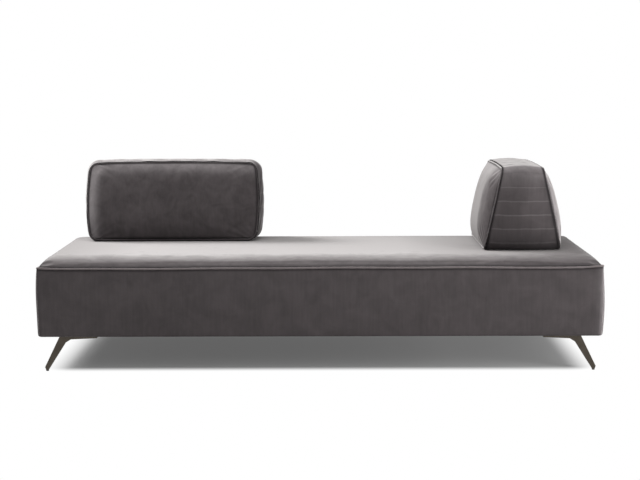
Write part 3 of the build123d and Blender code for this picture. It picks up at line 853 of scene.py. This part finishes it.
# painted highlight on the lit piping
lit_piping_highlight = {("right", True): 0.25}
around = towards_ends(160, 0.5)[:-1]
level = np.ones_like(around)
ring_a = np.concatenate([around, level, -around, -level])
ring_b = np.concatenate([-level, around, level, -around])
inset = rest_piping + piping_gap
border_path = even_steps(np.stack(cut_panel(ring_a, ring_b, inset), -1), rest_piping_steps)
for index, side in enumerate(("left", "right")):
    for back in (False, True):
        seed = 51 + 2 * index + back
        wave = piping_wave * soft_waves(np.pad(border_path, ((0, 0), (0, 1))), (0.07, 0.11, 0.19), seed)
        path = stand(side, on_panel(*border_path.T, inset + wave), back)
        across = stand(side, on_panel(*border_path.T, inset + wave + 1.0), back) - path
        points = tube_points(path, across, rest_piping, tube_sides, seed)
        name = f"{side}_backrest_{'back' if back else 'front'}"
        make_piece(
            f"{name}_piping", points, grid_faces(*points.shape[:2], closed=True, ring=True),
            f"{side}_backrest", rest_cord, (f"{name}_welt",), "piping",
            stitch=np.full(points.shape[:2], lit_piping_highlight.get((side, back), 0.0)),
        )

# %% [markdown]
# The band is quilted: seams run across it about every 58 mm, and the filling swells between
# them. Along the band that is a row of lobes; across it, the band bulges from panel to panel.
# The planes of its sections fan out between the two slopes. Along each row of stitches a fine
# pale line is painted, and the top is painted lighter all over and a little way down the ends:
# a painted highlight. At the foot, along the piping and in the seams on top it is painted
# darker, a painted shade.

# %% Quilted band
steps_per_channel = 18
seam_depth, lobe_fullness = 0.35, 0.55
line_width = 0.12
below_head_fade, foot_fade = 0.065, 0.06
mean_depth, band_crease = 0.24, 0.006


def band_points():
    """The panel's border without its foot, repeated at shares of the thickness and swelled outwards
    by a power of a parabola across the band and a power of a sine along it."""
    steps = np.linspace(-1, 1, 201)
    level = np.ones_like(steps)
    foot = np.linspace(1 - foot_radius / rest_half, 1, 21)[:-1]
    path = np.stack(cut_panel(
        np.concatenate([foot, level[:-1], -steps[:-1], -level, -foot[::-1]]),
        np.concatenate([-level[:20], steps[:-1], level[:-1], -steps, -level[:20]]),
    ), -1)
    run = np.concatenate([[0], np.cumsum(np.linalg.norm(np.diff(path, axis=0), axis=1))])
    at = np.linspace(0, run[-1], band_channels * steps_per_channel + 1)
    x, y = (np.interp(at, run, column) for column in path.T)
    along = np.stack([np.gradient(x), np.gradient(y)], -1)
    along /= np.linalg.norm(along, axis=1, keepdims=True)
    out_x, out_y = along[:, 1], -along[:, 0]
    share = (1 + towards_ends(33, 0.5))[:, None] / 2
    swell = (1 - (2 * share - 1) ** 2) ** swell_power
    seam = abs(np.sin(np.pi * band_channels * at / run[-1]))
    lobe = 1 - seam_depth + seam_depth * seam**lobe_fullness
    rise = (channel_edge_rise + (channel_rise - channel_edge_rise) * swell) * lobe
    away = rise + swell * (end_swell * out_x**2 + head_swell * np.clip(out_y, 0, 1) ** 2)
    turn = np.arctan((1 - 2 * share) * np.tan(lean))
    tall = np.hypot((1 - 2 * share) * panel_run, rest_height) / slope
    u = x + out_x * away
    v = np.maximum((y + out_y * away) * tall, 0.0)
    points = np.stack([
        u, (share - 0.5) * rest_base + v * np.sin(turn), base_cloth + v * np.cos(turn)
    ], -1)
    # painted highlight: pale lines at the stitches, below the head and over the top
    upward, line = np.clip(out_y, 0, 1) ** 1.2, np.exp(-((seam / line_width) ** 2))
    below_head = np.exp(-(((slope - y) / below_head_fade) ** 2))
    highlight_mask = np.maximum(np.maximum(0.35 * line, 0.4 * below_head), 0.9 * upward) + 0 * share
    # painted shade along both pipings, at the foot and in the seams on top
    painted_band_shade = np.exp(-((np.minimum(share, 1 - share) * mean_depth / band_crease) ** 2))
    painted_band_shade = painted_band_shade + 0.6 * np.exp(-((y / foot_fade) ** 2)) + 0.3 * line * upward
    return points, painted_band_shade, highlight_mask


band_waves, calm_foot = 0.0008, 0.03
for index, side in enumerate(("left", "right")):
    points, painted_band_shade, highlight_mask = band_points()
    off_foot = np.clip((points[..., 2] - base_cloth) / calm_foot, 0, 1)
    uneven = band_waves * off_foot * soft_waves(points, (0.05, 0.08, 0.13), 61 + index)
    points = points + uneven[..., None] * (1, 0, 1)
    name = f"{side}_backrest"
    band = make_piece(
        f"{name}_quilted_band", stand(side, points), grid_faces(*points.shape[:2]), name, velvet,
        (f"{name}_band", f"{name}_core"), "velvet", crease=painted_band_shade, stitch=highlight_mask,
    )
    give_thickness(band, velvet_thickness)

# %% [markdown]
# ## Cloths underneath
# A black felt closes the base from below, pulled flat and stapled, and a smaller piece of it
# closes each backrest. All are flat sheets; the large one has a hardly visible sag.

# %% Flat cloths


def flat_cloth(name, node, body, sag):
    """A flat rectangle in the node's box that sags by a product of two parabolas, with a thin wall."""
    low, high = box(node)
    a, b = np.meshgrid(np.linspace(-1, 1, 61), np.linspace(-1, 1, 41))
    middle, half = (low + high) / 2, (high - low) / 2
    dip = sag * (1 - a**2) * (1 - b**2)
    points = np.stack([middle[0] + a * half[0], middle[1] + b * half[1], high[2] - dip], -1)
    cloth = make_piece(name, points, grid_faces(*a.shape), body, dust_cloth, (node,), "dust_cloth")
    give_thickness(cloth, high[2] - low[2])


flat_cloth("dust_felt", "dust_cover", "base", sag=0.001)
for side in ("left", "right"):
    flat_cloth(f"{side}_backrest_underside", f"{side}_backrest_base_cloth", f"{side}_backrest", sag=0.0)

# %% [markdown]
# ## Studio
# The ground is white. A broad soft key stands high on the left, a little behind, and not much
# light comes from the front: that, with the painted sheen of the velvet, is why the tops are
# pale and the fronts are dark. Under the daybed the floor takes the real shadow, lightened by a
# painted glow; at its edges that fades into a plain white that only the camera and reflections
# see, so that it adds no light.

# %% Floor
floor_reach = 30.0
shadow_inset, shadow_fade = 0.14, 0.13
painted_shadow_lift = 0.105
reach = np.array([[-1, -1], [1, -1], [1, 1], [-1, 1]]) * floor_reach
ground = bpy.data.meshes.new("studio_floor")
ground.from_pydata([(x, y, 0.0) for x, y in reach.tolist()], [], [(0, 1, 2, 3)])
floor = bpy.data.objects.new("studio_floor", ground)
scene.collection.objects.link(floor)
floor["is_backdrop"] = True
white, tree, shader = new_finish("white_studio_paper", Base_Color=linear("#bcbcbc"), Roughness=1.0)
place = add_node(tree, "TexCoord").outputs["Object"]
# distance from the daybed's plan, as a soft mask
split = add_node(tree, "SeparateXYZ", {0: place})
beyond = []
for axis, half in (("X", half_length), ("Y", half_depth)):
    size = add_node(tree, "Math", {0: split.outputs[axis]}, operation="ABSOLUTE")
    over = add_node(tree, "Math", {0: size.outputs[0], 1: float(half) - shadow_inset}, operation="SUBTRACT")
    beyond.append(add_node(tree, "Math", {0: over.outputs[0], 1: 0.0}, operation="MAXIMUM").outputs[0])
squares = [add_node(tree, "Math", {0: out, 1: 2.0}, operation="POWER").outputs[0] for out in beyond]
total = add_node(tree, "Math", {0: squares[0], 1: squares[1]}, operation="ADD")
away = add_node(tree, "Math", {0: total.outputs[0]}, operation="SQRT")
# under the daybed the camera still sees about a tenth of the white: a painted glow that lightens the shadow
mask = add_node(
    tree, "MapRange",
    {"Value": away.outputs[0], "From Min": 0.0, "From Max": shadow_fade, "To Min": painted_shadow_lift},
    interpolation_type="SMOOTHSTEP",
)
rays = add_node(tree, "LightPath")
seen = add_node(
    tree, "Math", {0: rays.outputs["Is Camera Ray"], 1: rays.outputs["Is Glossy Ray"]}, operation="MAXIMUM"
)
bare = add_node(tree, "Math", {0: seen.outputs[0], 1: mask.outputs[0]}, operation="MULTIPLY")
glow = add_node(tree, "Emission", {"Color": (1, 1, 1, 1), "Strength": 1.0})
paper = add_node(tree, "MixShader", {0: bare.outputs[0], 1: shader.outputs[0], 2: glow.outputs[0]})
tree.links.new(paper.outputs[0], tree.nodes["Material Output"].inputs["Surface"])
ground.materials.append(white)
print("floor", floor.name)

# %% [markdown]
# The world gives a weak even fill, and is white to the camera. Four soft lamps do the rest: a
# wide one overhead, the key, and two small ones on the right that lift the end of the base and
# the right-hand backrest.

# %% World and lamps
world_fill = 0.16
studio = bpy.data.worlds.new("studio")
scene.world = studio
studio.use_nodes = True
tree = studio.node_tree
tree.nodes.clear()
rays = add_node(tree, "LightPath")
seen = add_node(
    tree, "Math", {0: rays.outputs["Is Camera Ray"], 1: rays.outputs["Is Glossy Ray"]}, operation="MAXIMUM"
)
fill = add_node(tree, "Background", {"Color": linear("#ffffff"), "Strength": world_fill})
backdrop = add_node(tree, "Background", {"Color": linear("#ffffff"), "Strength": 1.0})
mixed = add_node(tree, "MixShader", {0: seen.outputs[0], 1: fill.outputs[0], 2: backdrop.outputs[0]})
add_node(tree, "OutputWorld", {"Surface": mixed.outputs[0]})


def add_lamp(name, place, aim, size, power):
    """A soft rectangular lamp at a place, turned to look at another."""
    light = bpy.data.lights.new(name, "AREA")
    light.shape = "RECTANGLE"
    light.size, light.size_y = size
    light.energy = power
    lamp = bpy.data.objects.new(name, light)
    lamp.location = place
    lamp.rotation_euler = (Vector(aim) - Vector(place)).to_track_quat("-Z", "Y").to_euler()
    scene.collection.objects.link(lamp)


add_lamp("overhead_softbox", (-0.4, -1.2, 3.3), (-0.2, 0, 0.5), (2.8, 1.4), 34)
add_lamp("back_left_key", (-5.0, 2.2, 5.2), (0, 0, 0.4), (3.0, 3.0), 462)
add_lamp("right_softbox", (4.2, -0.6, 0.48), (1.0, -0.2, 0.5), (1.6, 0.8), 92)
add_lamp("front_right_fill", (2.4, -2.6, 1.2), (0.9, -0.5, 0.4), (1.2, 1.2), 33)

# %% [markdown]
# The camera is far away with a long lens, so the daybed hardly tapers. Its place and its turn
# were worked out from the corners and edges that the photograph shows: it stands 0.4 m higher
# than the backrests and looks down by five degrees.

# %% Camera
looks_down, roll, turn = 5.112, 0.186, 0.331
lens = bpy.data.cameras.new("camera")
lens.sensor_width = 36
lens.lens = 108.13
camera = bpy.data.objects.new("camera", lens)
camera.location = (0.047, -8.139, 1.199)
camera.rotation_euler = np.radians((90 - looks_down, roll, turn)).tolist()
scene.collection.objects.link(camera)
scene.camera = camera
scene.view_settings.view_transform = "Standard"
print("camera at", tuple(round(value, 3) for value in camera.location))

# %% [markdown]
# ## Finish
# The last cell prints the box of the CAD model and that of the dressed daybed.

# %% Sizes and finish
boxes = {"cad": cad_box, "visual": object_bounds()}
boxes = {key: [[float(value) for value in corner] for corner in pair] for key, pair in boxes.items()}
print(boxes)
